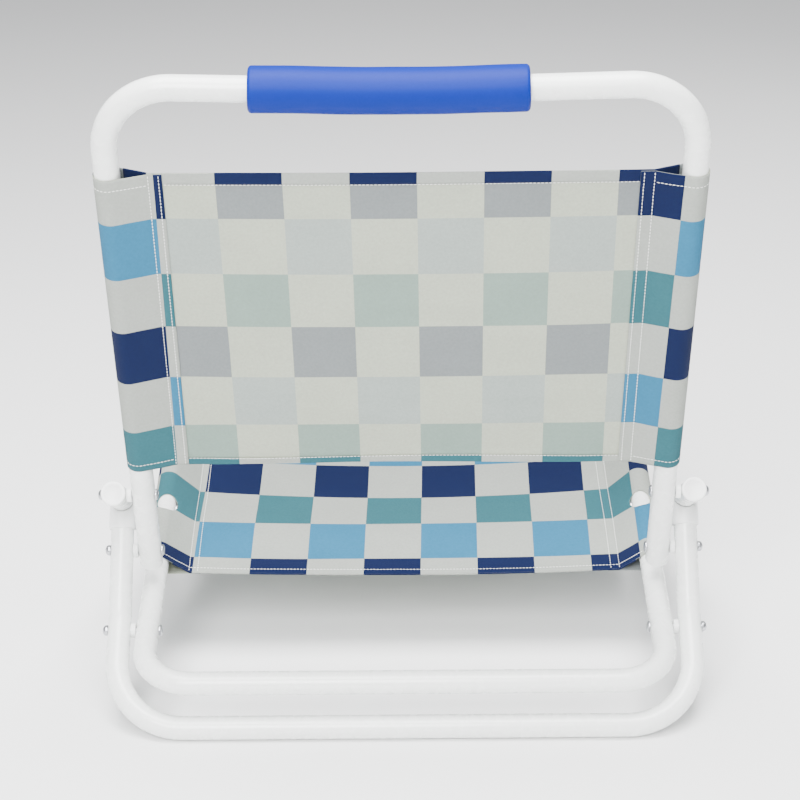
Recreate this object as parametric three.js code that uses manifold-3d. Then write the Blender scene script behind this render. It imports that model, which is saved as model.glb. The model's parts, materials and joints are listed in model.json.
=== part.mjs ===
// Low folding camp chair: two inner frames and two outer legs of round steel tube, joined by four
// pairs of pivots, with a fabric sling on the back and on the seat and a foam carry handle.
// Millimetres, +Z up, the sitter faces -Y, the origin is on the ground under the middle of the chair.

import * as THREE from 'three';
import { mergeVertices } from 'three/addons/utils/BufferGeometryUtils.js';
import Module from 'manifold-3d';

const wasm = await Module();
wasm.setup();

// ---------------------------------------------------------------- driving sizes

const TUBE_DIAMETER = 22;
const TUBE_WALL = 1.2;
const FRAME_WIDTH = 490; // between the centre lines of the two side tubes of the back and the seat
const PIVOT_GAP = 5.25; // between an inner tube and the leg tube beside it
const CLEARANCE = 0.3; // between pieces that touch

// Side view of the pivots: distance forward of the rear ground bar, height above its centre line.
const REAR_PIVOT = side(72.8, 64.5); // rear leg to seat
const BACK_PIVOT = side(120.3, 126.5); // rear leg to back
const UPPER_PIVOT = side(98.6, 194.4); // back to front leg
const FRONT_PIVOT = side(248.0, 111.4); // front leg to seat

const LEG_CORNER_RADIUS = 65;
const SEAT_CORNER_RADIUS = 46;
const BACK_CORNER_RADIUS = 58;
const REAR_LEG_BEND_RADIUS = 60;
const REAR_LEG_BEND_OFFSET = 15; // from the rear pivot up to the bend in the rear leg

const BACK_HEIGHT = 511; // from the back pivot up to the top bar
const BACK_TAIL = 15; // of the back tube below the back pivot
const TOP_BAR_DIP = 6.5; // of the middle of the top bar below its ends
const TOP_BAR_BEND_RADIUS = 2000;
const FRONT_LEG_TAIL = 11; // of the front leg behind the upper pivot

const SEAT_REAR = -73; // rear bar of the seat frame, along the seat from the rear pivot
const SEAT_FRONT = 495; // front bar of the seat frame
const SEAT_JOINT = 300; // where the two seat tubes meet inside the sleeves
const FERRULE_LENGTH = 60;

const GRIP_DIAMETER = 38.5;
const GRIP_LENGTH = 227;
const GRIP_OFFSET = 9.5; // of the grip's middle from the middle of the bar, to the sitter's left

// Slings run from and to a distance along their tubes, from the back pivot and from the rear pivot.
// A seam closes each sleeve inboard of the tube, and drops from the tube's plane to the web.
const BACK_SLING = { from: 110, to: 427, seam: 44, drop: 0, sag: 3 };
const SEAT_SLING = { from: 95, to: 442, seam: 36, drop: 12, sag: 9 };
const CLOTH = 1;
const SLEEVE_HOLE_RADIUS = 12;
const SLEEVE_HOLE_INSET = 4; // of the hole's centre inboard of the tube's centre line

const BOLT_RADIUS = 3;
const BOLT_HOLE_CLEARANCE = 0.5; // round the shank, in the tubes
const BOLT_HEAD_RADIUS = 5.5;
const BOLT_HEAD_HEIGHT = 2.8;
const NUT_RADIUS = 5;
const NUT_HEIGHT = 4.6;
const NUT_BORE_DEPTH = 2.6;
const SPACER_RADIUS = 7;

const PLUG_STUB = 6;
const PLUG_DISC_THICKNESS = 2.5;
const PLUG_DOME_HEIGHT = 4;
const CAP_WALL = 1.5;
const CAP_SKIRT = 14; // of the saddle cap down the rear leg
const CAP_FLOOR = 3; // of the saddle cap between the two tubes
const CAP_HORN = 8; // of the saddle cap up beside the front leg

const TUBE_SIDES = 16;
const ROUND_SIDES = 12;
const ARC_STEPS_PER_TURN = 24;

// ---------------------------------------------------------------- worked-out sizes

const TUBE_RADIUS = TUBE_DIAMETER / 2;
const BORE_RADIUS = TUBE_RADIUS - TUBE_WALL;
const INNER_X = FRAME_WIDTH / 2;
const OUTER_X = INNER_X + TUBE_DIAMETER + PIVOT_GAP;
const SLEEVE_RADIUS = TUBE_RADIUS + CLEARANCE;
const BOLT_HOLE_RADIUS = BOLT_RADIUS + BOLT_HOLE_CLEARANCE;

const REAR_FOOT = side(0, 0);
const BACK_UP = UPPER_PIVOT.clone().sub(BACK_PIVOT).normalize();
const SEAT_FORWARD = FRONT_PIVOT.clone().sub(REAR_PIVOT).normalize();
const FRONT_LEG_DOWN = FRONT_PIVOT.clone().sub(UPPER_PIVOT).normalize();
const FRONT_FOOT = along(UPPER_PIVOT, FRONT_LEG_DOWN, -UPPER_PIVOT.y / FRONT_LEG_DOWN.y);

const REAR_LEG_LOWER = REAR_PIVOT.clone().sub(REAR_FOOT).normalize();
const REAR_LEG_BEND = along(REAR_PIVOT, REAR_LEG_LOWER, REAR_LEG_BEND_OFFSET);
const REAR_LEG_UPPER = BACK_PIVOT.clone().sub(REAR_LEG_BEND).normalize();
const SADDLE = crossing(BACK_PIVOT, REAR_LEG_UPPER, UPPER_PIVOT, FRONT_LEG_DOWN);
const SADDLE_DROP = TUBE_RADIUS + CLEARANCE + CAP_FLOOR + CLEARANCE; // below the front leg's axis
const REAR_LEG_TOP = along(SADDLE, REAR_LEG_UPPER, -SADDLE_DROP);

// ---------------------------------------------------------------- colours

const POWDER_COAT = new THREE.MeshStandardMaterial({ color: 0xe9ecea, roughness: 0.25, metalness: 0 });
const WHITE_PLASTIC = new THREE.MeshStandardMaterial({ color: 0xf1f2f1, roughness: 0.4, metalness: 0 });
const ZINC = new THREE.MeshStandardMaterial({ color: 0xb4b6b8, roughness: 0.35, metalness: 1 });
const FOAM = new THREE.MeshStandardMaterial({ color: 0x1f4fa8, roughness: 0.7, metalness: 0 });
const SLING_CLOTH = new THREE.MeshStandardMaterial({ color: 0x7fb2cc, roughness: 0.9, metalness: 0 });

// ---------------------------------------------------------------- geometry helpers

// A point of the side view: forward, up.
function side(forward, up) {
  return new THREE.Vector2(forward, up);
}

function along(start, direction, distance) {
  return start.clone().addScaledVector(direction, distance);
}

// The point where the line through a along u meets the line through b along v.
function crossing(a, u, b, v) {
  const between = b.clone().sub(a);
  return along(a, u, between.cross(v) / u.cross(v));
}

// A point of the side view, placed at x across the chair.
function place(x, point) {
  return new THREE.Vector3(x, -point.x, point.y);
}

// A direction of the side view in space.
function direction(vector) {
  return place(0, vector);
}

// The stations of a line of tube: straight between its corners, with an arc at each corner.
function stationsOf(corners, radii) {
  const stations = [];
  const straight = (a, b) => b.clone().sub(a).normalize();
  const last = corners.length - 1;
  stations.push({ point: corners[0], tangent: straight(corners[0], corners[1]) });
  for (let i = 1; i < last; i += 1) {
    const into = straight(corners[i - 1], corners[i]);
    const outOf = straight(corners[i], corners[i + 1]);
    const turn = into.angleTo(outOf);
    const inward = outOf.clone().addScaledVector(into, -into.dot(outOf)).normalize();
    const radius = radii[i - 1];
    const start = corners[i].clone().addScaledVector(into, -radius * Math.tan(turn / 2));
    const centre = start.clone().addScaledVector(inward, radius);
    const steps = Math.max(2, Math.round((turn / (2 * Math.PI)) * ARC_STEPS_PER_TURN));
    for (let k = 0; k <= steps; k += 1) {
      const angle = (turn * k) / steps;
      const point = centre.clone();
      point.addScaledVector(inward, -radius * Math.cos(angle));
      point.addScaledVector(into, radius * Math.sin(angle));
      const tangent = into.clone().multiplyScalar(Math.cos(angle));
      tangent.addScaledVector(inward, Math.sin(angle));
      stations.push({ point, tangent });
    }
  }
  stations.push({ point: corners[last], tangent: straight(corners[last - 1], corners[last]) });
  return stations;
}

// A curve that an extrusion follows from station to station.
class TubeLine extends THREE.Curve {
  constructor(corners, radii) {
    super();
    this.stations = stationsOf(corners, radii);
    this.steps = this.stations.length - 1;
  }

  station(t) {
    return this.stations[Math.round(t * this.steps)];
  }

  getPoint(t) {
    return this.station(t).point.clone();
  }

  getPointAt(t) {
    return this.getPoint(t);
  }

  getTangentAt(t) {
    return this.station(t).tangent.clone();
  }
}

function polygon(radius, sides, phase) {
  const points = [];
  for (let k = 0; k < sides; k += 1) {
    const angle = phase + (2 * Math.PI * k) / sides;
    points.push(new THREE.Vector2(radius * Math.cos(angle), radius * Math.sin(angle)));
  }
  return points;
}

// The phase that turns a flat of the tube's polygon towards a direction, halfway along the line.
function flatTowards(line, target) {
  const frames = line.computeFrenetFrames(line.steps, false);
  const middle = Math.round(line.steps / 2);
  const angle = Math.atan2(target.dot(frames.binormals[middle]), target.dot(frames.normals[middle]));
  return angle - Math.PI / TUBE_SIDES;
}

function ringAlong(line, outerRadius, innerRadius, phase = 0) {
  const section = new THREE.Shape(polygon(outerRadius, TUBE_SIDES, phase));
  section.holes.push(new THREE.Path(polygon(innerRadius, TUBE_SIDES, phase)));
  return new THREE.ExtrudeGeometry(section, { steps: line.steps, extrudePath: line });
}

// A geometry as a solid, its faces turned outwards.
function solidOf(geometry) {
  const bare = geometry.clone();
  bare.deleteAttribute('normal');
  bare.deleteAttribute('uv');
  const merged = mergeVertices(bare, 1e-4);
  const vertices = new Float32Array(merged.attributes.position.array);
  const triangles = new Uint32Array(merged.index.array);
  const volume = signedVolume(vertices, triangles);
  if (volume < 0) {
    for (let i = 0; i < triangles.length; i += 3) {
      [triangles[i], triangles[i + 1]] = [triangles[i + 1], triangles[i]];
    }
  }
  return new wasm.Manifold(new wasm.Mesh({ numProp: 3, vertProperties: vertices, triVerts: triangles }));
}

function signedVolume(vertices, triangles) {
  const corner = (i) => new THREE.Vector3().fromArray(vertices, 3 * triangles[i]);
  let total = 0;
  for (let i = 0; i < triangles.length; i += 3) {
    total += corner(i).dot(corner(i + 1).cross(corner(i + 2)));
  }
  return total / 6;
}

function geometryOf(solid) {
  const mesh = solid.getMesh();
  const geometry = new THREE.BufferGeometry();
  geometry.setAttribute('position', new THREE.BufferAttribute(new Float32Array(mesh.vertProperties), 3));
  geometry.setIndex(new THREE.BufferAttribute(new Uint32Array(mesh.triVerts), 1));
  geometry.computeVertexNormals();
  return geometry;
}

// A geometry with other geometries cut away from it.
function cut(geometry, cutters) {
  let solid = solidOf(geometry);
  for (const cutter of cutters) {
    solid = solid.subtract(solidOf(cutter));
  }
  return geometryOf(solid);
}

// A round bar between two points.
function bar(from, to, radius, sides = ROUND_SIDES) {
  const axis = to.clone().sub(from);
  const geometry = new THREE.CylinderGeometry(radius, radius, axis.length(), sides);
  const turn = new THREE.Quaternion().setFromUnitVectors(new THREE.Vector3(0, 1, 0), axis.normalize());
  geometry.applyQuaternion(turn);
  const middle = from.clone().add(to).multiplyScalar(0.5);
  geometry.translate(middle.x, middle.y, middle.z);
  return geometry;
}

// The bolt holes of a tube at x, one for each pivot that it has.
function boltHoles(x, pivots) {
  const cutters = [];
  for (const sign of [1, -1]) {
    for (const pivot of pivots) {
      const inner = place(sign * (x - TUBE_DIAMETER), pivot);
      const outer = place(sign * (x + TUBE_DIAMETER), pivot);
      cutters.push(bar(inner, outer, BOLT_HOLE_RADIUS));
    }
  }
  return cutters;
}

function turned(profile, sides = ROUND_SIDES) {
  const points = profile.map(([radius, height]) => new THREE.Vector2(radius, height));
  return geometryOf(solidOf(new THREE.LatheGeometry(points, sides)));
}

// ---------------------------------------------------------------- pieces

const chair = new THREE.Group();

function add(name, geometry, material) {
  const mesh = new THREE.Mesh(geometry, material);
  mesh.name = name;
  chair.add(mesh);
  return mesh;
}

// A turned piece with its axis along a direction and its foot at a point.
function addTurned(name, geometry, material, foot, axis) {
  const mesh = add(name, geometry, material);
  mesh.position.copy(foot);
  mesh.quaternion.setFromUnitVectors(new THREE.Vector3(0, 1, 0), axis);
  return mesh;
}

function addTube(name, corners, radii, x, pivots, flatDirection) {
  const line = new TubeLine(corners, radii);
  const phase = flatDirection ? flatTowards(line, flatDirection) : 0;
  const tube = ringAlong(line, TUBE_RADIUS, BORE_RADIUS, phase);
  add(name, cut(tube, boltHoles(x, pivots)), POWDER_COAT);
}

const DOWN = new THREE.Vector3(0, 0, -1);

function addRearLeg() {
  const half = [REAR_LEG_TOP, REAR_LEG_BEND, REAR_FOOT];
  const left = half.map((point) => place(OUTER_X, point));
  const right = half.map((point) => place(-OUTER_X, point)).reverse();
  const radii = [REAR_LEG_BEND_RADIUS, LEG_CORNER_RADIUS, LEG_CORNER_RADIUS, REAR_LEG_BEND_RADIUS];
  addTube('rear_leg_tube', [...left, ...right], radii, OUTER_X, [REAR_PIVOT, BACK_PIVOT], DOWN);
}

function addFrontLeg() {
  const end = along(UPPER_PIVOT, FRONT_LEG_DOWN, -FRONT_LEG_TAIL);
  const corners = [
    place(OUTER_X, end),
    place(OUTER_X, FRONT_FOOT),
    place(-OUTER_X, FRONT_FOOT),
    place(-OUTER_X, end),
  ];
  const radii = [LEG_CORNER_RADIUS, LEG_CORNER_RADIUS];
  addTube('front_leg_tube', corners, radii, OUTER_X, [UPPER_PIVOT, FRONT_PIVOT], DOWN);
}

function addBackFrame() {
  const end = along(BACK_PIVOT, BACK_UP, -BACK_TAIL);
  const top = along(BACK_PIVOT, BACK_UP, BACK_HEIGHT);
  const dip = along(BACK_PIVOT, BACK_UP, BACK_HEIGHT - TOP_BAR_DIP);
  const corners = [
    place(INNER_X, end),
    place(INNER_X, top),
    place(0, dip),
    place(-INNER_X, top),
    place(-INNER_X, end),
  ];
  const radii = [BACK_CORNER_RADIUS, TOP_BAR_BEND_RADIUS, BACK_CORNER_RADIUS];
  addTube('back_frame_tube', corners, radii, INNER_X, [BACK_PIVOT, UPPER_PIVOT]);
}

// The foam sleeve follows the dip of the top bar.
function addGrip() {
  const slope = TOP_BAR_DIP / INNER_X;
  const middle = BACK_HEIGHT - TOP_BAR_DIP;
  const at = (x) => place(x, along(BACK_PIVOT, BACK_UP, middle + slope * Math.abs(x)));
  const corners = [at(GRIP_OFFSET + GRIP_LENGTH / 2), at(0), at(GRIP_OFFSET - GRIP_LENGTH / 2)];
  const line = new TubeLine(corners, [TOP_BAR_BEND_RADIUS]);
  const grip = ringAlong(line, GRIP_DIAMETER / 2, TUBE_RADIUS + 2 * CLEARANCE);
  add('handle_grip', geometryOf(solidOf(grip)), FOAM);
}

function addSeatFrame() {
  const halves = [
    { name: 'seat_rear_tube', bar: SEAT_REAR, joint: SEAT_JOINT - CLEARANCE / 2 },
    { name: 'seat_front_tube', bar: SEAT_FRONT, joint: SEAT_JOINT + CLEARANCE / 2 },
  ];
  for (const half of halves) {
    const end = along(REAR_PIVOT, SEAT_FORWARD, half.joint);
    const across = along(REAR_PIVOT, SEAT_FORWARD, half.bar);
    const corners = [
      place(INNER_X, end),
      place(INNER_X, across),
      place(-INNER_X, across),
      place(-INNER_X, end),
    ];
    const radii = [SEAT_CORNER_RADIUS, SEAT_CORNER_RADIUS];
    const pivots = half.bar < SEAT_JOINT ? [REAR_PIVOT, FRONT_PIVOT] : [];
    addTube(half.name, corners, radii, INNER_X, pivots);
  }
}

function addFerrules() {
  const from = along(REAR_PIVOT, SEAT_FORWARD, SEAT_JOINT - FERRULE_LENGTH / 2);
  const to = along(REAR_PIVOT, SEAT_FORWARD, SEAT_JOINT + FERRULE_LENGTH / 2);
  for (const { sign, hand } of HANDS) {
    const line = new TubeLine([place(sign * INNER_X, from), place(sign * INNER_X, to)], []);
    const outer = BORE_RADIUS - CLEARANCE;
    const ferrule = ringAlong(line, outer, outer - TUBE_WALL);
    add(`seat_ferrule_${hand}`, geometryOf(solidOf(ferrule)), ZINC);
  }
}

// Disc plugs close the rear ends of the front leg, domed plugs the lower ends of the back.
function addPlugs() {
  const stubRadius = BORE_RADIUS - CLEARANCE;
  const disc = [
    [0, -PLUG_STUB],
    [stubRadius, -PLUG_STUB],
    [stubRadius, CLEARANCE],
    [TUBE_RADIUS, CLEARANCE],
    [TUBE_RADIUS, PLUG_DISC_THICKNESS - 0.8],
    [TUBE_RADIUS - 0.8, PLUG_DISC_THICKNESS],
    [0, PLUG_DISC_THICKNESS],
  ];
  const dome = [
    [0, -PLUG_STUB],
    [stubRadius, -PLUG_STUB],
    [stubRadius, CLEARANCE],
    [TUBE_RADIUS, CLEARANCE],
    [TUBE_RADIUS, PLUG_DOME_HEIGHT * 0.3],
    [TUBE_RADIUS * 0.8, PLUG_DOME_HEIGHT * 0.75],
    [TUBE_RADIUS * 0.4, PLUG_DOME_HEIGHT],
    [0, PLUG_DOME_HEIGHT],
  ];
  const legEnd = along(UPPER_PIVOT, FRONT_LEG_DOWN, -FRONT_LEG_TAIL);
  const backEnd = along(BACK_PIVOT, BACK_UP, -BACK_TAIL);
  for (const { sign, hand } of HANDS) {
    const rearward = direction(FRONT_LEG_DOWN).negate();
    const downward = direction(BACK_UP).negate();
    const legPoint = place(sign * OUTER_X, legEnd);
    const backPoint = place(sign * INNER_X, backEnd);
    const discPlug = turned(disc, TUBE_SIDES);
    const domePlug = turned(dome, TUBE_SIDES);
    addTurned(`front_leg_plug_${hand}`, discPlug, WHITE_PLASTIC, legPoint, rearward);
    addTurned(`back_plug_${hand}`, domePlug, WHITE_PLASTIC, backPoint, downward);
  }
}

// A cup over the end of the rear leg, hollowed on top to cradle the front leg.
function addSaddleCaps() {
  const outer = TUBE_RADIUS + CLEARANCE + CAP_WALL;
  const bore = TUBE_RADIUS + CLEARANCE;
  const foot = along(REAR_LEG_TOP, REAR_LEG_UPPER, -CAP_SKIRT);
  const crown = along(SADDLE, REAR_LEG_UPPER, CAP_HORN - TUBE_RADIUS);
  const boreEnd = along(REAR_LEG_TOP, REAR_LEG_UPPER, CLEARANCE);
  const boreStart = along(foot, REAR_LEG_UPPER, -CAP_SKIRT);
  const legBehind = along(SADDLE, FRONT_LEG_DOWN, -3 * TUBE_DIAMETER);
  const legAhead = along(SADDLE, FRONT_LEG_DOWN, 3 * TUBE_DIAMETER);
  for (const { sign, hand } of HANDS) {
    const at = (point) => place(sign * OUTER_X, point);
    const cup = bar(at(foot), at(crown), outer, 2 * TUBE_SIDES);
    const bored = bar(at(boreStart), at(boreEnd), bore + CLEARANCE, 2 * TUBE_SIDES);
    const cradle = bar(at(legBehind), at(legAhead), bore + CLEARANCE, 2 * TUBE_SIDES);
    add(`saddle_cap_${hand}`, cut(cup, [bored, cradle]), WHITE_PLASTIC);
  }
}

// A sling's section: x across the chair, y out of the plane through the two tubes. Each sleeve is a
// teardrop whose two layers leave the tube and meet at the seam, and the web sags between the seams.
function slingSection({ seam, drop, sag }) {
  const outer = SLEEVE_RADIUS + CLOTH;
  const centre = new THREE.Vector2(INNER_X, 0);
  const tip = new THREE.Vector2(INNER_X - seam, -drop);
  const axis = centre.clone().sub(tip);
  const lean = Math.asin(outer / axis.length());
  const arc = (radius) => {
    const points = [];
    const steps = 12;
    for (let k = 0; k <= steps; k += 1) {
      const angle = axis.angle() + (Math.PI / 2 + lean) * (1 - (2 * k) / steps);
      points.push(new THREE.Vector2(INNER_X + radius * Math.cos(angle), radius * Math.sin(angle)));
    }
    return points;
  };
  const layer = (height) => {
    const points = [];
    const steps = 12;
    for (let k = 0; k <= steps; k += 1) {
      const x = tip.x * ((2 * k) / steps - 1);
      points.push(new THREE.Vector2(x, height - drop - sag * (1 - (x / tip.x) ** 2)));
    }
    return points;
  };
  const mirrored = (points) => points.map((p) => new THREE.Vector2(-p.x, p.y)).reverse();

  const face = layer(CLOTH / 2);
  const back = layer(-CLOTH / 2).reverse();
  const outline = [...face, ...arc(outer), ...back, ...mirrored(arc(outer))].reverse();
  const pocketTip = tip.clone().add(axis.clone().setLength(CLOTH / Math.sin(lean)));
  const pocket = [...arc(SLEEVE_RADIUS), pocketTip];
  const section = new THREE.Shape(outline);
  section.holes.push(new THREE.Path(pocket));
  section.holes.push(new THREE.Path(mirrored(pocket)));
  return section;
}

function addSling(name, sling, origin, up, normal, startStation, cutters) {
  const length = sling.to - sling.from;
  const section = slingSection(sling);
  const cloth = new THREE.ExtrudeGeometry(section, { depth: length, bevelEnabled: false });
  const mesh = add(name, cut(cloth, cutters), SLING_CLOTH);
  const across = new THREE.Vector3(1, 0, 0);
  const depth = across.clone().cross(normal);
  mesh.quaternion.setFromRotationMatrix(new THREE.Matrix4().makeBasis(across, normal, depth));
  mesh.position.copy(place(0, along(origin, up, startStation)));
}

function addBackSling() {
  const frontward = direction(new THREE.Vector2(BACK_UP.y, -BACK_UP.x));
  addSling('back_sling', BACK_SLING, BACK_PIVOT, BACK_UP, frontward, BACK_SLING.to, []);
}

// The seat's sleeves are open round the front pivots: a round hole on top, one inboard for the bolt
// head and one outboard for the spacer.
function addSeatSling() {
  const upward = direction(new THREE.Vector2(-SEAT_FORWARD.y, SEAT_FORWARD.x));
  const station = FRONT_PIVOT.distanceTo(REAR_PIVOT) - SEAT_SLING.from;
  const cutters = [];
  for (const { sign } of HANDS) {
    const at = (x, y) => new THREE.Vector3(sign * x, y, station);
    const holeX = INNER_X - SLEEVE_HOLE_INSET;
    cutters.push(bar(at(holeX, TUBE_RADIUS / 2), at(holeX, 2 * TUBE_DIAMETER), SLEEVE_HOLE_RADIUS));
    cutters.push(bar(at(INNER_X, 0), at(INNER_X - TUBE_DIAMETER, 0), BOLT_HEAD_RADIUS + 2));
    cutters.push(bar(at(INNER_X, 0), at(OUTER_X, 0), SPACER_RADIUS + 2));
  }
  addSling('seat_sling', SEAT_SLING, REAR_PIVOT, SEAT_FORWARD, upward, SEAT_SLING.from, cutters);
}

function domedHead(radius, height) {
  return [
    [radius, height * 0.35],
    [radius * 0.8, height * 0.75],
    [radius * 0.4, height],
    [0, height],
  ];
}

// A bolt along its shank from y = -length to the seat of its head at y = 0.
function boltProfile(length) {
  return [
    [0, -length],
    [BOLT_RADIUS, -length],
    [BOLT_RADIUS, 0],
    [BOLT_HEAD_RADIUS, 0],
    ...domedHead(BOLT_HEAD_RADIUS, BOLT_HEAD_HEIGHT),
  ];
}

// A cap nut, its mouth at y = 0.
function nutProfile() {
  return [
    [0, NUT_BORE_DEPTH + CLEARANCE],
    [BOLT_RADIUS + CLEARANCE, NUT_BORE_DEPTH + CLEARANCE],
    [BOLT_RADIUS + CLEARANCE, 0],
    [NUT_RADIUS, 0],
    ...domedHead(NUT_RADIUS, NUT_HEIGHT),
  ];
}

// The front pivots are split between the two tubes: the seat keeps the bolt and the spacer, and the
// front leg keeps a nut with a stub of its own.
function addPivots() {
  const pivots = [
    { name: 'upper', point: UPPER_PIVOT, split: false },
    { name: 'back', point: BACK_PIVOT, split: false },
    { name: 'rear', point: REAR_PIVOT, split: false },
    { name: 'front', point: FRONT_PIVOT, split: true },
  ];
  const headX = INNER_X - TUBE_RADIUS - CLEARANCE;
  const nutX = OUTER_X + TUBE_RADIUS + CLEARANCE;
  const spacerX = INNER_X + TUBE_RADIUS + CLEARANCE;
  const spacerLength = PIVOT_GAP - 2 * CLEARANCE;
  const spacerBore = BOLT_RADIUS + 2 * CLEARANCE;
  const spacerProfile = [
    [spacerBore, 0],
    [SPACER_RADIUS, 0],
    [SPACER_RADIUS, spacerLength],
    [spacerBore, spacerLength],
    [spacerBore, 0],
  ];
  const fullLength = nutX + NUT_BORE_DEPTH - headX;
  const splitLength = spacerX + spacerLength - headX;
  const stub = TUBE_DIAMETER;
  const stubbedNut = [
    [0, -stub],
    [BOLT_RADIUS, -stub],
    [BOLT_RADIUS, 0],
    [NUT_RADIUS, 0],
    ...domedHead(NUT_RADIUS, NUT_HEIGHT),
  ];
  for (const { name, point, split } of pivots) {
    for (const { sign, hand } of HANDS) {
      const outward = new THREE.Vector3(sign, 0, 0);
      const inward = outward.clone().negate();
      const at = (x) => place(sign * x, point);
      const bolt = turned(boltProfile(split ? splitLength : fullLength));
      const nut = turned(split ? stubbedNut : nutProfile());
      const spacer = turned(spacerProfile);
      addTurned(`${name}_pivot_bolt_${hand}`, bolt, ZINC, at(headX), inward);
      addTurned(`${name}_pivot_nut_${hand}`, nut, ZINC, at(nutX), outward);
      addTurned(`${name}_pivot_spacer_${hand}`, spacer, WHITE_PLASTIC, at(spacerX), outward);
    }
  }
}

const HANDS = [
  { sign: 1, hand: 'left' },
  { sign: -1, hand: 'right' },
];

addBackFrame();
addGrip();
addBackSling();
addRearLeg();
addSaddleCaps();
addFrontLeg();
addPlugs();
addSeatFrame();
addFerrules();
addSeatSling();
addPivots();

// The origin goes on the ground under the middle of the chair.
const bounds = new THREE.Box3().setFromObject(chair, true);
const middle = bounds.getCenter(new THREE.Vector3());
chair.position.set(-middle.x, -middle.y, -bounds.min.z);

export default chair;
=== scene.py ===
"""Looks of a low folding camp chair: round steel tubes, pivots, a foam grip and two printed slings.

Metres, +Z up, the sitter faces -Y. Every place comes from the frame: its joints, mounts and boxes.
"""

import json
import math

import bmesh
import bpy
from mathutils import Matrix, Vector, noise


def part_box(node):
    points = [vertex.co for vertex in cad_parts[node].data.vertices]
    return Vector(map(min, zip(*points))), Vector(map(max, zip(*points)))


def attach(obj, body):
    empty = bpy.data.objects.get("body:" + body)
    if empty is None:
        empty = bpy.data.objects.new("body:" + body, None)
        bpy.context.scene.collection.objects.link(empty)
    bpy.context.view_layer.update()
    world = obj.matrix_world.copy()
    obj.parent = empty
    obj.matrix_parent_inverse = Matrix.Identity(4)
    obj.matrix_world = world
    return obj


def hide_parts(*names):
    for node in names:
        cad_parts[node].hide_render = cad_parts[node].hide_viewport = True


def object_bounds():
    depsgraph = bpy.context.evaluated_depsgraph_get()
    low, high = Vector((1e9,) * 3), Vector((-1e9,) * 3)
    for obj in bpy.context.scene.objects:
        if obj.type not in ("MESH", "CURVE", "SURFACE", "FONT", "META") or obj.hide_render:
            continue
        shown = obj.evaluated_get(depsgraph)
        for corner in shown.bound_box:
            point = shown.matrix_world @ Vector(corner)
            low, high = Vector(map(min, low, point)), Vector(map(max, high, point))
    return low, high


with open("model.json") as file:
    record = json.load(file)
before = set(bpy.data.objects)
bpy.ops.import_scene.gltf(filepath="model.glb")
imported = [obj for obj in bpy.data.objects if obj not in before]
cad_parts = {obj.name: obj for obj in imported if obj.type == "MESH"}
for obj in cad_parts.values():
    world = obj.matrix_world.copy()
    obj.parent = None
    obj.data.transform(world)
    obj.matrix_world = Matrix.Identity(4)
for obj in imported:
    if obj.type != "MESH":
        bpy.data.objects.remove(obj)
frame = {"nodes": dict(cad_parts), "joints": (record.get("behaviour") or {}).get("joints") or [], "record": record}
cad_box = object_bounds()

MM = 0.001
ACROSS = Vector((1, 0, 0))
HANDS = {"left": 1, "right": -1}


# ---------------------------------------------------------------- places read from the frame


def joint_point(name):
    """Where a joint's axis crosses the middle plane of the chair."""
    return Vector(next(j["pos_m"] for j in frame["joints"] if j["name"] == name))


def mount_point(name):
    return Vector(next(m["pos_m"] for m in frame["record"]["mounts"] if m["name"] == name))


def centre(node):
    low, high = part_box(node)
    return (low + high) / 2


def in_middle(point):
    """The point's foot on the middle plane of the chair."""
    return Vector((0, point.y, point.z))


def reach(node, origin, direction):
    """How far a node goes from origin along a direction, as (least, most)."""
    spans = [(v.co - origin).dot(direction) for v in frame["nodes"][node].data.vertices]
    return min(spans), max(spans)


REAR_PIVOT = joint_point("rear_leg_fold")
BACK_PIVOT = joint_point("back_fold")
UPPER_PIVOT = joint_point("front_leg_fold")
FRONT_PIVOT = in_middle(centre("front_pivot_spacer_left"))

OUTER_X = centre("front_leg_plug_left").x
INNER_X = centre("back_plug_left").x
TUBE_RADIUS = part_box("front_leg_plug_left")[1].x - OUTER_X
FOOT_HEIGHT = TUBE_RADIUS * math.cos(math.pi / 16)  # the frame's tubes have 16 flat sides

BACK_UP = (UPPER_PIVOT - BACK_PIVOT).normalized()
SEAT_FORWARD = (FRONT_PIVOT - REAR_PIVOT).normalized()
FRONT_LEG_DOWN = (FRONT_PIVOT - UPPER_PIVOT).normalized()
BACK_FACE = ACROSS.cross(BACK_UP)  # towards the sitter
SEAT_FACE = SEAT_FORWARD.cross(ACROSS)  # up, towards the sitter

# ---------------------------------------------------------------- shapes the frame doesn't name

LEG_CORNER = 65 * MM
SEAT_CORNER = 46 * MM
BACK_CORNER = 58 * MM
REAR_LEG_BEND = 60 * MM
REAR_LEG_BEND_RISE = 15 * MM  # above the rear pivot, along the leg
TOP_BAR_DIP = 6.5 * MM
TOP_BAR_BEND = 2.0

CAP_WALL = 1.8 * MM
CAP_EDGE = 0.9 * MM
CAP_PLAY = 0.35 * MM  # between the cradle and the tube in it
PLUG_RADIUS = 9 * MM
PLUG_DEPTH = 6 * MM
PLUG_FLANGE = 0.1 * MM  # from the tube's end to the plug's flange
DISC_RIM = 0.6 * MM
DISC_THICKNESS = 3.2 * MM
DISC_ROUNDING = 1.1 * MM
FOOT_DOME = 4.2 * MM
FOOT_BAND = 1.0 * MM

SHANK_RADIUS = 3 * MM
HEAD_RADIUS = 5.5 * MM
NUT_RADIUS = 5 * MM
SPACER_RADIUS = 7 * MM
SPACER_EDGE = 0.5 * MM

GRIP_RADIUS = 19.2 * MM
GRIP_EDGE = 3.2 * MM
GRIP_DENTS = 0.35 * MM

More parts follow.
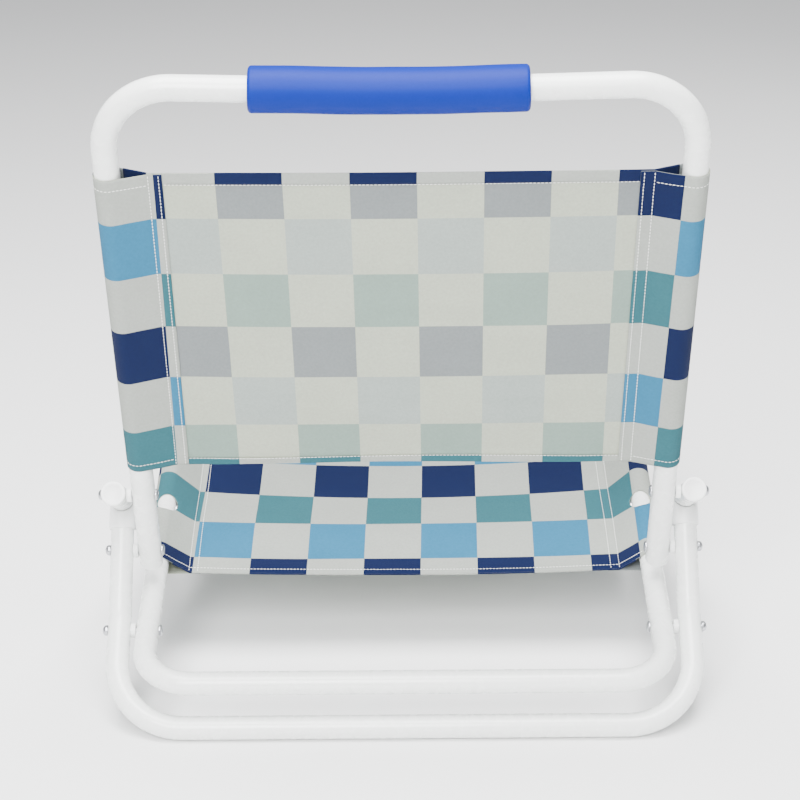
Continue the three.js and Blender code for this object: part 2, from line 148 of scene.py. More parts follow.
CLOTH = 0.7 * MM
HEM_FOLD = 0.52 * MM  # radius of the fold, to the middle of the cloth
HEM_STITCH = 1.5 * MM  # from a hem's free edge to its stitches
HEM_CLEARANCE = 7 * MM  # from a hem's side end to where the cloth meets the tube
SEAM_ROWS = (3 * MM, 12 * MM)  # the seam's two rows of stitches, from the rear layer's edge
STITCH_PITCH = 3.3 * MM
STITCH_HALF_LENGTH = 1.25 * MM
STITCH_RADIUS = 0.34 * MM
THREAD_SPACING = 0.62 * MM  # one wave of the weave


# ---------------------------------------------------------------- mesh helpers


def new_object(name, verts, faces, sharp_degrees=40):
    """A smooth-shaded mesh object whose edges stay sharp above an angle."""
    mesh = bpy.data.meshes.new(name)
    mesh.from_pydata([tuple(v) for v in verts], [], faces)
    made = bmesh.new()
    made.from_mesh(mesh)
    bmesh.ops.recalc_face_normals(made, faces=made.faces)
    for face in made.faces:
        face.smooth = True
    for edge in made.edges:
        edge.smooth = edge.calc_face_angle(0) < math.radians(sharp_degrees)
    made.to_mesh(mesh)
    made.free()
    obj = bpy.data.objects.new(name, mesh)
    bpy.context.scene.collection.objects.link(obj)
    return obj


def finish_piece(obj, nodes, material):
    """Shows obj instead of CAD nodes: it moves with their body and takes the given material."""
    obj.data.materials.append(material)
    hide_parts(*nodes)
    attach(obj, body_of(nodes[0]))
    return obj


def body_of(node):
    bodies = frame["record"]["behaviour"]["bodies"]
    return next(body for body, members in bodies.items() if node in members)


def rounded_path(corners, radii, step=2.5 * MM):
    """A polyline through corners whose inner ones are rounded to the given radii."""
    path = [corners[0]]
    for before, corner, after, radius in zip(corners, corners[1:], corners[2:], radii):
        back, ahead = (before - corner).normalized(), (after - corner).normalized()
        half = back.angle(ahead) / 2
        hub = corner + (back + ahead).normalized() * radius / math.sin(half)
        start = corner + back * radius / math.tan(half)
        turn = math.pi - 2 * half
        count = max(6, math.ceil(turn * radius / step))
        spoke = start - hub
        for k in range(count + 1):
            angle = turn * k / count
            path.append(hub + spoke * math.cos(angle) - back * radius * math.sin(angle))
    path.append(corners[-1])
    return path


def sweep(name, stations, sides=40):
    """A closed solid of round rings. Each station is (centre, direction, radius)."""
    tangent = stations[0][1]
    normal = tangent.orthogonal().normalized()
    verts, faces = [], []
    for point, direction, radius in stations:
        normal = (tangent.rotation_difference(direction) @ normal).normalized()
        tangent = direction
        other = tangent.cross(normal)
        for k in range(sides):
            angle = 2 * math.pi * k / sides
            verts.append(point + (normal * math.cos(angle) + other * math.sin(angle)) * radius)
    for ring in range(len(stations) - 1):
        for k in range(sides):
            a, b = ring * sides + k, ring * sides + (k + 1) % sides
            faces.append((a, b, b + sides, a + sides))
    faces.append(tuple(range(sides - 1, -1, -1)))
    faces.append(tuple(range(len(verts) - sides, len(verts))))
    return new_object(name, verts, faces)


def tube(name, path, radius):
    stations = []
    for k, point in enumerate(path):
        direction = path[min(k + 1, len(path) - 1)] - path[max(k - 1, 0)]
        stations.append((point, direction.normalized(), radius))
    return sweep(name, stations)


def turned(name, origin, axis, profile, sides=40):
    """A turned piece. Its profile is a list of (distance along the axis, radius)."""
    return sweep(name, [(origin + axis * t, axis, r) for t, r in profile], sides)


def rounding(along, radius, size, steps=6):
    """Profile of a rounded outer edge that ends a disc: from the side round to the end face."""
    points = []
    for k in range(steps + 1):
        angle = math.pi / 2 * k / steps
        t = along - size + size * math.sin(angle)
        points.append((t, radius - size + size * math.cos(angle)))
    return points


def to_side(point, x):
    return Vector((x, point.y, point.z))


# ---------------------------------------------------------------- material helpers


class Nodes:
    """A material's node tree, with short calls for what the finishes here need."""

    def __init__(self, name):
        self.material = bpy.data.materials.new(name)
        self.material.use_nodes = True
        self.tree = self.material.node_tree
        self.shader = self.tree.nodes["Principled BSDF"]

    def add(self, kind, **settings):
        node = self.tree.nodes.new(kind)
        for key, value in settings.items():
            setattr(node, key, value)
        return node

    def link(self, source, target):
        self.tree.links.new(source, target)

    def math(self, operation, a, b=0.0):
        node = self.add("ShaderNodeMath", operation=operation)
        for socket, value in zip(node.inputs, (a, b)):
            if isinstance(value, (int, float)):
                socket.default_value = value
            else:
                self.link(value, socket)
        return node.outputs[0]

    def mix(self, factor, a, b):
        node = self.add("ShaderNodeMix", data_type="RGBA")
        self.link(factor, node.inputs[0])
        for socket, value in ((node.inputs[6], a), (node.inputs[7], b)):
            if isinstance(value, tuple):
                socket.default_value = (*value, 1)
            else:
                self.link(value, socket)
        return node.outputs[2]

    def noise(self, scale, detail=2.0):
        """Noise with a number of cells to the metre, fixed to the object."""
        place = self.add("ShaderNodeTexCoord").outputs["Object"]
        node = self.add("ShaderNodeTexNoise")
        node.inputs["Scale"].default_value = scale
        node.inputs["Detail"].default_value = detail
        self.link(place, node.inputs["Vector"])
        return node.outputs["Fac"]

    def span(self, value, low, high):
        """Spreads a 0 to 1 value over low to high."""
        return self.math("ADD", self.math("MULTIPLY", value, high - low), low)

    def bump(self, height, strength, distance):
        node = self.add("ShaderNodeBump")
        node.inputs["Strength"].default_value = strength
        node.inputs["Distance"].default_value = distance
        self.link(height, node.inputs["Height"])
        self.link(node.outputs["Normal"], self.shader.inputs["Normal"])

    def set(self, **values):
        for key, value in values.items():
            self.shader.inputs[key.replace("_", " ")].default_value = value


def srgb(red, green, blue):
    """A colour given as it looks, from 0 to 255, as linear values."""
    parts = [c / 255 for c in (red, green, blue)]
    return tuple(c / 12.92 if c <= 0.04045 else ((c + 0.055) / 1.055) ** 2.4 for c in parts)


def coloured(nodes, colour, shade, scale):
    """Base colour that varies a little in brightness over the surface."""
    dark = tuple(c * shade for c in colour)
    nodes.link(nodes.mix(nodes.noise(scale), colour, dark), nodes.shader.inputs["Base Color"])


def powder_coat():
    nodes = Nodes("powder_coat")
    coloured(nodes, srgb(236, 238, 236), 0.96, 25)
    rough = nodes.span(nodes.noise(90, 4), 0.2, 0.34)
    nodes.link(rough, nodes.shader.inputs["Roughness"])
    nodes.bump(nodes.noise(700, 3), 0.12, 0.25 * MM)
    nodes.set(Coat_Weight=0.25, Coat_Roughness=0.12)
    return nodes.material


def white_plastic():
    nodes = Nodes("white_plastic")
    coloured(nodes, srgb(240, 241, 240), 0.95, 60)
    rough = nodes.span(nodes.noise(300, 3), 0.34, 0.48)
    nodes.link(rough, nodes.shader.inputs["Roughness"])
    nodes.bump(nodes.noise(1600, 2), 0.1, 0.1 * MM)
    return nodes.material


def zinc():
    nodes = Nodes("zinc")
    coloured(nodes, srgb(196, 198, 202), 0.72, 350)
    rough = nodes.span(nodes.noise(900, 4), 0.22, 0.45)
    nodes.link(rough, nodes.shader.inputs["Roughness"])
    nodes.bump(nodes.noise(2500, 2), 0.15, 0.05 * MM)
    nodes.set(Metallic=1.0)
    return nodes.material


def foam():
    """Closed-cell foam with a fine skin of pores."""
    nodes = Nodes("foam")
    coloured(nodes, srgb(1, 30, 122), 0.86, 500)
    rough = nodes.span(nodes.noise(700, 4), 0.42, 0.6)
    nodes.link(rough, nodes.shader.inputs["Roughness"])
    nodes.bump(nodes.noise(1500, 4), 0.35, 0.3 * MM)
    nodes.set(Specular_IOR_Level=0.12)
    return nodes.material


def thread():
    nodes = Nodes("thread")
    coloured(nodes, srgb(245, 245, 242), 0.85, 2500)
    nodes.bump(nodes.noise(4000, 2), 0.3, 0.1 * MM)
    nodes.set(Roughness=0.7)
    return nodes.material


PRINT = {
    "first": srgb(8, 20, 54),
    "second": srgb(40, 99, 130),
    "third": srgb(42, 86, 94),
    "plain": srgb(145, 149, 143),
}
REVERSE = {
    "first": srgb(112, 117, 118),
    "second": srgb(140, 149, 144),
    "third": srgb(118, 136, 127),
    "plain": srgb(158, 163, 148),
}


def checked_cloth(name, colours, layout):
    """Plain-woven cloth with a printed check, laid out in the flat cloth's own metres."""
    nodes = Nodes(name)
    flat = nodes.add("ShaderNodeUVMap", uv_map="flat").outputs["UV"]
    split = nodes.add("ShaderNodeSeparateXYZ")
    nodes.link(flat, split.inputs[0])
    u, s = split.outputs[0], split.outputs[1]

    def cell(value, start, size):
        steps_in = nodes.math("DIVIDE", nodes.math("SUBTRACT", value, start), size)
        return nodes.math("FLOOR", steps_in)

    skewed = nodes.math("ADD", u, nodes.math("MULTIPLY", s, layout["skew"]))
    column = cell(skewed, layout["column_start"], layout["column"])
    row = cell(s, layout["row_start"], layout["row"])
    odd = nodes.math("MODULO", nodes.math("ADD", nodes.math("ADD", column, row), 60), 2)
    turn = nodes.math("MODULO", nodes.math("ADD", row, 60), 3)
    is_second = nodes.math("COMPARE", turn, 1)
    is_third = nodes.math("COMPARE", turn, 2)
    colour = nodes.mix(is_second, colours["first"], colours["second"])
    colour = nodes.mix(is_third, colour, colours["third"])
    colour = nodes.mix(odd, colour, colours["plain"])

    heather = nodes.span(nodes.noise(420, 3), 0.86, 1.12)
    shade = nodes.math("MULTIPLY", heather, nodes.span(nodes.noise(30), 0.95, 1.05))
    tinted = nodes.add("ShaderNodeVectorMath", operation="SCALE")
    nodes.link(colour, tinted.inputs[0])
    nodes.link(shade, tinted.inputs["Scale"])
    nodes.link(tinted.outputs[0], nodes.shader.inputs["Base Color"])

    threads = 2 * math.pi / THREAD_SPACING
    warp = nodes.math("SINE", nodes.math("MULTIPLY", u, threads))
    weft = nodes.math("SINE", nodes.math("MULTIPLY", s, threads))
    weave = nodes.math("MULTIPLY", warp, weft)
    slub = nodes.math("MULTIPLY", nodes.noise(600, 3), 2.0)
    nodes.bump(nodes.math("ADD", weave, slub), 0.35, 0.12 * MM)
    nodes.set(Roughness=0.9, Specular_IOR_Level=0.12, Sheen_Weight=0.02, Sheen_Roughness=0.6)
    return nodes.material


# ---------------------------------------------------------------- frame tubes


def add_tubes(paint):
    foot = mount_point("rear_ground_bar") + Vector((0, 0, FOOT_HEIGHT))
    lower = (REAR_PIVOT - foot).normalized()
    bend = REAR_PIVOT + lower * REAR_LEG_BEND_RISE
    upper = (BACK_PIVOT - bend).normalized()
    top = bend + upper * (reach("rear_leg_tube", bend, upper)[1] - 1 * MM)
    corners = [to_side(p, OUTER_X) for p in (top, bend, foot)]
    corners += [to_side(p, -OUTER_X) for p in (foot, bend, top)]
    path = rounded_path(corners, [REAR_LEG_BEND, LEG_CORNER, LEG_CORNER, REAR_LEG_BEND])
    rear = tube("rear_leg_paint", path, TUBE_RADIUS)
    finish_piece(rear, ["rear_leg_tube"], paint)

    foot = mount_point("front_ground_bar") + Vector((0, 0, FOOT_HEIGHT))
    tail = UPPER_PIVOT + FRONT_LEG_DOWN * reach("front_leg_tube", UPPER_PIVOT, FRONT_LEG_DOWN)[0]
    corners = [to_side(tail, OUTER_X), to_side(foot, OUTER_X)]
    corners += [to_side(foot, -OUTER_X), to_side(tail, -OUTER_X)]
    front = tube("front_leg_paint", rounded_path(corners, [LEG_CORNER] * 2), TUBE_RADIUS)
    finish_piece(front, ["front_leg_tube"], paint)

    low, high = reach("back_frame_tube", BACK_PIVOT, BACK_UP)
    tail, head = BACK_PIVOT + BACK_UP * low, BACK_PIVOT + BACK_UP * (high - TUBE_RADIUS)
    corners = [to_side(tail, INNER_X), to_side(head, INNER_X), head - BACK_UP * TOP_BAR_DIP]
    corners += [to_side(head, -INNER_X), to_side(tail, -INNER_X)]
    path = rounded_path(corners, [BACK_CORNER, TOP_BAR_BEND, BACK_CORNER])
    back = tube("back_frame_paint", path, TUBE_RADIUS)
    finish_piece(back, ["back_frame_tube"], paint)

    low, joint = reach("seat_rear_tube", REAR_PIVOT, SEAT_FORWARD)
    high = reach("seat_front_tube", REAR_PIVOT, SEAT_FORWARD)[1]
    joint = REAR_PIVOT + SEAT_FORWARD * joint
    bars = {"seat_rear": low + TUBE_RADIUS, "seat_front": high - TUBE_RADIUS}
    for name, station in bars.items():
        across = REAR_PIVOT + SEAT_FORWARD * station
        corners = [to_side(joint, INNER_X), to_side(across, INNER_X)]
        corners += [to_side(across, -INNER_X), to_side(joint, -INNER_X)]
        half = tube(f"{name}_paint", rounded_path(corners, [SEAT_CORNER] * 2), TUBE_RADIUS)
        finish_piece(half, [f"{name}_tube"], paint)
    return {"rear_top": top, "rear_up": upper, "back_top": head}


# ---------------------------------------------------------------- plugs, caps and pivots


def add_plugs(plastic):
    """Discs with a dished face on the front leg's rear ends, and domes on the back's lower ends."""
    stem = [(-PLUG_DEPTH, PLUG_RADIUS), (PLUG_FLANGE, PLUG_RADIUS)]
    for hand, sign in HANDS.items():
        start = reach("front_leg_tube", UPPER_PIVOT, FRONT_LEG_DOWN)[0]
        origin = to_side(UPPER_PIVOT + FRONT_LEG_DOWN * start, sign * OUTER_X)
        radius, thick = TUBE_RADIUS + DISC_RIM, DISC_THICKNESS
        profile = [*stem, (PLUG_FLANGE, radius), *rounding(thick, radius, DISC_ROUNDING)]
        profile += [(thick, 8.6 * MM), (thick - 0.5 * MM, 8 * MM), (thick - 0.5 * MM, 0.5 * MM)]
        disc = turned(f"front_leg_disc_{hand}", origin, -FRONT_LEG_DOWN, profile)
        finish_piece(disc, [f"front_leg_plug_{hand}"], plastic)

        start = reach("back_frame_tube", BACK_PIVOT, BACK_UP)[0]
        origin = to_side(BACK_PIVOT + BACK_UP * start, sign * INNER_X)
        profile = [*stem, (PLUG_FLANGE, TUBE_RADIUS), (FOOT_BAND, TUBE_RADIUS)]
        for k in range(1, 12):
            angle = math.pi / 2 * k / 12
            along = FOOT_BAND + (FOOT_DOME - FOOT_BAND) * math.sin(angle)
            profile.append((along, TUBE_RADIUS * math.cos(angle)))
        dome_end = turned(f"back_foot_{hand}", origin, -BACK_UP, profile)
        finish_piece(dome_end, [f"back_plug_{hand}"], plastic)


def add_saddle_caps(plastic, top, up):
    """Cups on the rear leg's ends. Each holds the front leg tube in a cradle across its top."""
    outer = TUBE_RADIUS + CAP_WALL
    seat = TUBE_RADIUS + CAP_PLAY
    wide = ACROSS.cross(up)
    lift = up - FRONT_LEG_DOWN * up.dot(FRONT_LEG_DOWN)
    lift.normalize()
    for hand, sign in HANDS.items():
        low, high = reach(f"saddle_cap_{hand}", top, up)
        sides, rings = 96, 14
        verts = []

        def crown(x, w):
            """Height of the cap's top along the leg, over a point of its section."""
            drop = math.sqrt(max(0.0, seat * seat - x * x))
            base = top + wide * w
            level = ((UPPER_PIVOT - base).dot(lift) - drop) / up.dot(lift)
            return min(level, high)

        def ring(radius, height):
            for k in range(sides):
                angle = 2 * math.pi * k / sides
                x, w = radius * math.cos(angle), radius * math.sin(angle)
                t = height(x, w) if callable(height) else height
                verts.append(to_side(top, sign * OUTER_X) + ACROSS * x + wide * w + up * t)

        ring(TUBE_RADIUS, low)
        ring(outer - 0.5 * MM, low)
        ring(outer, low + 0.6 * MM)
        for k in range(1, 6):
            share = k / 6
            ring(outer, lambda x, w: low + (crown(x, w) - CAP_EDGE - low) * share)
        ring(outer, lambda x, w: crown(x, w) - CAP_EDGE)
        ring(outer - 0.3 * MM, lambda x, w: crown(x, w) - 0.3 * MM)
        ring(outer - CAP_EDGE, crown)
        for k in range(1, rings):
            ring((outer - CAP_EDGE) * (1 - k / rings), crown)
        count = len(verts) // sides
        faces = []
        for r in range(count - 1):
            for k in range(sides):
                a, b = r * sides + k, r * sides + (k + 1) % sides
                faces.append((a, b, b + sides, a + sides))
        faces.append(tuple(range(sides - 1, -1, -1)))
        faces.append(tuple(range(len(verts) - sides, len(verts))))
        cap = new_object(f"saddle_cup_{hand}", verts, faces, 50)
        finish_piece(cap, [f"saddle_cap_{hand}"], plastic)


def add_pivots(metal, plastic):
    """Bolts with domed heads inboard, nuts outboard and plastic spacers between the tubes."""
    for pivot in ("upper", "back", "rear", "front"):
        for hand, sign in HANDS.items():
            outward = ACROSS * sign
            parts = ("bolt", "nut", "spacer")
            bolt, nut, spacer = (f"{pivot}_pivot_{part}_{hand}" for part in parts)
            point = in_middle(centre(spacer))

            near, far = reach(bolt, point, outward)
            seat = INNER_X - TUBE_RADIUS - 0.2 * MM
            profile = [(-far, SHANK_RADIUS), (-seat, SHANK_RADIUS), (-seat, HEAD_RADIUS)]
            profile += dome_profile(-seat, HEAD_RADIUS, seat - near, dimple=True)
            made = turned(f"{pivot}_bolt_{hand}", point, -outward, profile, 32)
            finish_piece(made, [bolt], metal)

            near, far = reach(nut, point, outward)
            seat = OUTER_X + TUBE_RADIUS + 0.1 * MM
            profile = [(near, SHANK_RADIUS), (seat, SHANK_RADIUS), (seat, NUT_RADIUS)]
            profile += dome_profile(seat, NUT_RADIUS, far - seat)
            made = turned(f"{pivot}_nut_{hand}", point, outward, profile, 32)
            finish_piece(made, [nut], metal)

            near, far = reach(spacer, point, outward)
            profile = [(near, SHANK_RADIUS), (near, SPACER_RADIUS - SPACER_EDGE)]
            profile += [(near + SPACER_EDGE, SPACER_RADIUS)]
            profile += rounding(far, SPACER_RADIUS, SPACER_EDGE, 3) + [(far, SHANK_RADIUS)]
            made = turned(f"{pivot}_spacer_{hand}", point, outward, profile, 32)
            finish_piece(made, [spacer], plastic)


def dome_profile(start, radius, height, dimple=False):
    """A low dome on a short rim, with a shallow dimple for the tool where it is a bolt's head."""
    rim = height * 0.3
    points = [(start + rim, radius)]
    for k in range(1, 9):
        angle = math.pi / 2 * k / 9
        points.append((start + rim + (height - rim) * math.sin(angle), radius * math.cos(angle)))
    if dimple:
        points = points[:7]
        points += [(start + height * 0.55, radius * 0.36), (start + height * 0.5, 0.2 * MM)]
    return points


# ---------------------------------------------------------------- foam grip


def add_grip(foam_material, top):
    """The foam sleeve follows the bar's slight bend, and its surface swells and dents a little."""
    low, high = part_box("handle_grip")
    radius, edge = GRIP_RADIUS, GRIP_EDGE
    slope = TOP_BAR_DIP / INNER_X
    dip = top - BACK_UP * TOP_BAR_DIP
    right, left = (dip + ACROSS * x + BACK_UP * slope * abs(x) for x in (low.x, high.x))
    bend = rounded_path([left, dip, right], [TOP_BAR_BEND])
    total = (dip - left).length + (right - dip).length

    def at(distance):
        """Point and direction on the bar's line at a distance from the grip's left end."""
        gone = 0.0
        for a, b in zip(bend, bend[1:]):
            step = (b - a).length
            if distance <= gone + step:
                return a.lerp(b, (distance - gone) / step), (b - a).normalized()
            gone += step
        return bend[-1], (bend[-1] - bend[-2]).normalized()

    end = [(1.2 * MM, TUBE_RADIUS - 0.5 * MM), (0.5 * MM, TUBE_RADIUS + 1 * MM)]
    end += [(0.0, TUBE_RADIUS + 3 * MM)]
    for k in range(9):
        angle = math.pi / 2 * k / 8
        end.append((edge * (1 - math.cos(angle)), radius - edge + edge * math.sin(angle)))
    profile = end + [(edge + (total - 2 * edge) * k / 60, radius) for k in range(1, 60)]
    profile += [(total - d, r) for d, r in reversed(end)]
    stations = [(*at(distance), r) for distance, r in profile]
    grip = sweep("foam_grip", stations, 64)
    for v in grip.data.vertices:
        line = dip + ACROSS * v.co.x + BACK_UP * slope * abs(v.co.x)
        out = v.co - line
        if out.length > TUBE_RADIUS + 2 * MM:
            v.co += out.normalized() * GRIP_DENTS * noise.noise(v.co * 28)
    finish_piece(grip, ["handle_grip"], foam_material)


# ---------------------------------------------------------------- slings


def smooth_step(value):
    value = min(1.0, max(0.0, value))
    return value * value * (3 - 2 * value)


class Sling:
    """A sling's cloth. u is across the flat cloth from its middle, and s is along the tubes.

    From the middle the web runs to the seam, then the face layer to the tube, round it, and the
    rear layer back to the seam, where it overlaps the web and is stitched down in two rows.
    """

    RADIUS = TUBE_RADIUS + 0.75 * MM
    GAP = 1.0 * MM

    def __init__(self, node, origin, along, face, seam, lap, shape, layout):
        self.node, self.origin, self.along, self.face = node, origin, along, face
        self.low, self.high = reach(node, origin, along)
        self.lap, self.layout, self.hems = lap, layout, layout["hems"]
        self.drop, self.sag, self.bow = shape  # of the seam, the web below it, and its ends
        middle = (self.low + self.high) / 2
        arm = Vector((seam, self.drop(self, middle)))
        lean = math.asin(self.RADIUS / arm.length)
        self.lay = math.sqrt(arm.length**2 - self.RADIUS**2)
        self.start_angle = math.atan2(arm.y, arm.x) + math.pi / 2 + lean
        self.sweep_angle = math.pi + 2 * lean
        self.web = INNER_X - seam
        self.touch = self.web + self.lay
        self.leave = self.touch + self.RADIUS * self.sweep_angle
        self.meet = self.leave + self.lay
        self.edge = self.meet + lap

    def web_depth(self, x, s):
        return -self.drop(self, s) - self.sag(self, s) * (1 - (x / self.web) ** 2)

    def on_tube(self, angle):
        return Vector((INNER_X + self.RADIUS * math.cos(angle), self.RADIUS * math.sin(angle)))

    def section(self, u, s):
        """Across and out of the tubes' plane, for the cloth's middle surface on the left side."""
        if u <= self.web:
            return Vector((u, self.web_depth(u, s)))
        tip = Vector((self.web, -self.drop(self, s)))
        if u <= self.touch:
            return tip.lerp(self.on_tube(self.start_angle), (u - self.web) / self.lay)
        if u <= self.leave:
            return self.on_tube(self.start_angle - (u - self.touch) / self.RADIUS)
        past_hem = min(s - self.low - self.hems[0], self.high - s - self.hems[1])
        near_hem = smooth_step(1 - past_hem / (7 * MM))
        gap = self.GAP * (1 + 0.9 * near_hem)
        if u <= self.meet:
            end = self.on_tube(self.start_angle - self.sweep_angle)
            return end.lerp(tip - Vector((0, gap)), (u - self.leave) / self.lay)
        x = self.web - (u - self.meet)
        return Vector((x, self.web_depth(x, s) - gap))

    def point(self, u, s):
        flat = self.section(abs(u), s)
        side = math.copysign(1, u)
        s += self.bow(self, flat.x, s)
        depth = flat.y + self.wrinkle(u, s)
        return self.origin + self.along * s + ACROSS * side * flat.x + self.face * depth

    def wrinkle(self, u, s):
        """Soft creases across the web, and slanted ones where the sleeves pull."""
        across, size = abs(u), self.layout["crease"]
        down = (self.high - s) / (self.high - self.low)
        if across < self.web:
            free = smooth_step((self.web - 14 * MM - across) / (45 * MM))
            near_seam = smooth_step((self.web - across) / (4 * MM)) - free
            long = noise.noise(Vector((u * 4.2, s * 24 + u * 3.0, 2.5)))
            short = noise.noise(Vector((u * 9.0, s * 62 - u * 6.0, 7.5)))
            pucker = noise.noise(Vector((u * 12.0, s * 95, 1.5)))
            strength = size * (0.25 + 0.75 * smooth_step(down * 1.6 - 0.25))
            waves = free * strength * (long + 0.4 * short)
            return waves + 0.25 * MM * near_seam * pucker * free
        if across < self.touch or self.leave < across < self.meet:
            start = self.web if across < self.touch else self.leave
            share = (across - start) / self.lay
            crease = noise.noise(Vector((across * 26 + s * 22, s * 30, math.copysign(3, u))))
            return 0.9 * MM * math.sin(math.pi * share) ** 2 * crease
        return 0.0

    def normal(self, u, s):
        step = 0.2 * MM
        du = self.point(u + step, s) - self.point(u - step, s)
        ds = self.point(u, s + step) - self.point(u, s - step)
        out = du.cross(ds).normalized()
        return out if self.handed() > 0 else -out

    def handed(self):
        return ACROSS.cross(self.along).dot(self.face)

    def lifted(self, u, s, lift):
        return self.point(u, s) + self.normal(u, s) * lift


def steps(start, end, size):
    count = max(1, round((end - start) / size))
    return [start + (end - start) * k / count for k in range(count)]


def cloth_grid(name, sling, us, ss, place, holes=()):
    """A grid over the flat cloth, set in space by place(u, s). Faces inside a hole are left out."""
    flat = [[u, s] for s in ss for u in us]
    wide = len(us)
    faces = []
    cut = set()
    for j in range(len(ss) - 1):
        for i in range(wide - 1):
            corners = [j * wide + i, j * wide + i + 1, (j + 1) * wide + i + 1, (j + 1) * wide + i]
            mid_u = (us[i] + us[i + 1]) / 2
            mid_s = (ss[j] + ss[j + 1]) / 2
            if any(math.hypot(mid_u - u, mid_s - s) < r for u, s, r in holes):
                cut.update(corners)
            else:
                faces.append(corners if sling.handed() > 0 else corners[::-1])
    used = {k for face in faces for k in face}
    for k in cut & used:
        place_u, place_s = flat[k]
        u, s, r = min(holes, key=lambda h: abs(math.hypot(place_u - h[0], place_s - h[1]) - h[2]))
        away = math.hypot(place_u - u, place_s - s)
        flat[k] = [u + (place_u - u) * r / away, s + (place_s - s) * r / away]
    order = {k: n for n, k in enumerate(sorted(used))}
    verts = [place(*flat[k]) for k in sorted(used)]
    mesh = bpy.data.meshes.new(name)
    mesh.from_pydata([tuple(v) for v in verts], [], [[order[k] for k in f] for f in faces])
    layer = mesh.uv_layers.new(name="flat")
    back = sorted(used)
    for loop in mesh.loops:
        layer.data[loop.index].uv = flat[back[loop.vertex_index]]
    mesh.shade_smooth()
    obj = bpy.data.objects.new(name, mesh)
    bpy.context.scene.collection.objects.link(obj)
    return obj


def thicken(obj):
    solid = obj.modifiers.new("thickness", "SOLIDIFY")
    solid.thickness = CLOTH
    solid.offset = 0
    solid.material_offset = 1
    solid.material_offset_rim = 1


def hem_place(sling, end, inner):
    """Folds the cloth over to its rear side at one end of the sling."""

    def place(u, s):
        past = (s - end) * inner
        turn = min(past, math.pi * HEM_FOLD) / HEM_FOLD
        run = max(0.0, past - math.pi * HEM_FOLD)
        base = sling.point(u, end - inner * run)
        out = sling.normal(u, end - inner * run)
        ahead = sling.along * inner * HEM_FOLD * math.sin(turn)
        return base + ahead - out * HEM_FOLD * (1 - math.cos(turn))

    return place


def add_stitches(name, sling, lines, material):
    """Short raised stitches along lines, each (start, end, lift) in flat cloth coordinates."""
    sides, rings = 6, (-1.0, -0.72, 0.0, 0.72, 1.0)
    verts, faces = [], []
    for (u0, s0), (u1, s1), lift in lines:
        count = int(math.hypot(u1 - u0, s1 - s0) / STITCH_PITCH)
        for k in range(count):
            share = (k + 0.5) / count
            u, s = u0 + (u1 - u0) * share, s0 + (s1 - s0) * share
            step = 0.5 * MM / math.hypot(u1 - u0, s1 - s0)
            ahead = sling.lifted(u + (u1 - u0) * step, s + (s1 - s0) * step, lift)
            middle = sling.lifted(u, s, lift)
            out = sling.normal(u, s)
            run = (ahead - middle).normalized()
            side = run.cross(out)
            start = len(verts)
            for t in rings:
                size = STITCH_RADIUS * math.sqrt(max(0.02, 1 - t * t))
                for n in range(sides):
                    angle = 2 * math.pi * n / sides
                    offset = side * math.cos(angle) + out * 0.8 * math.sin(angle)
                    verts.append(middle + run * STITCH_HALF_LENGTH * t + offset * size)
            for r in range(len(rings) - 1):
                for n in range(sides):
                    a, b = start + r * sides + n, start + r * sides + (n + 1) % sides
                    faces.append((a, b, b + sides, a + sides))
            faces.append(tuple(range(start + sides - 1, start - 1, -1)))
            faces.append(tuple(range(len(verts) - sides, len(verts))))
    obj = new_object(name, verts, faces, 180)
    obj.data.materials.append(material)
    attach(obj, body_of(sling.node))
    return obj


def add_sling(sling, holes, thread_material):
    layout = sling.layout
    printed = checked_cloth(f"{sling.node}_print", PRINT, layout)
    reverse = checked_cloth(f"{sling.node}_reverse", REVERSE, layout)

    half = steps(0, sling.web, 4 * MM) + steps(sling.web, sling.touch, 3.2 * MM)
    half += steps(sling.touch, sling.leave, 1.6 * MM)
    half += steps(sling.leave, sling.meet, 3.2 * MM) + steps(sling.meet, sling.edge, 3 * MM)
    half += [sling.edge]
    us = [-u for u in reversed(half[1:])] + half
    ss = steps(sling.low, sling.high, 3 * MM) + [sling.high]
    cloth = cloth_grid(f"{sling.node}_cloth", sling, us, ss, sling.point, holes)
    pieces = []
    hem_us = [u for u in us if abs(u) <= sling.touch - HEM_CLEARANCE]
    fold = math.pi * HEM_FOLD
    folds = [fold * k / 8 for k in range(8)]
    ends = (("low", sling.low, -1), ("high", sling.high, 1))
    for (word, end, inner), width in zip(ends, sling.hems):
        out = folds + [fold + (width - fold) * k / 4 for k in range(5)]
        hem_ss = sorted(end + inner * d for d in out)
        place = hem_place(sling, end, inner)
        pieces.append(cloth_grid(f"{sling.node}_{word}_hem", sling, hem_us, hem_ss, place))
    for obj in [cloth, *pieces]:
        thicken(obj)
        obj.data.materials.append(printed)
        obj.data.materials.append(reverse)
        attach(obj, body_of(sling.node))
    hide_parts(sling.node)

    above = CLOTH / 2 + 0.12 * MM
    below = -(above + 1.04 * MM)
    lines = []
    rows = (
        sling.low + sling.hems[0] - HEM_STITCH,
        sling.high - sling.hems[1] + HEM_STITCH,
    )
    first, last = sling.low + 1 * MM, sling.high - 1 * MM
    for sign in (1, -1):
        for inset in SEAM_ROWS:
            u = sling.meet + sling.lap - inset
            lines.append(((sign * u, first), (sign * u, last), above))
            front = sling.web - (u - sling.meet)
            lines.append(((sign * front, first), (sign * front, last), above))
        for s in rows:
            lines.append(((sign * sling.web, s), (sign * (sling.meet - 2 * MM), s), above))
    for s in rows:
        lines.append(((-sling.web, s), (sling.web, s), above))
        lines.append(((-sling.web + 12 * MM, s), (sling.web - 12 * MM, s), below))
    stitches = add_stitches(f"{sling.node}_stitches", sling, lines, thread_material)
    pieces.append(stitches)
    flat = (2 * sling.edge, sling.high - sling.low + sum(sling.hems))


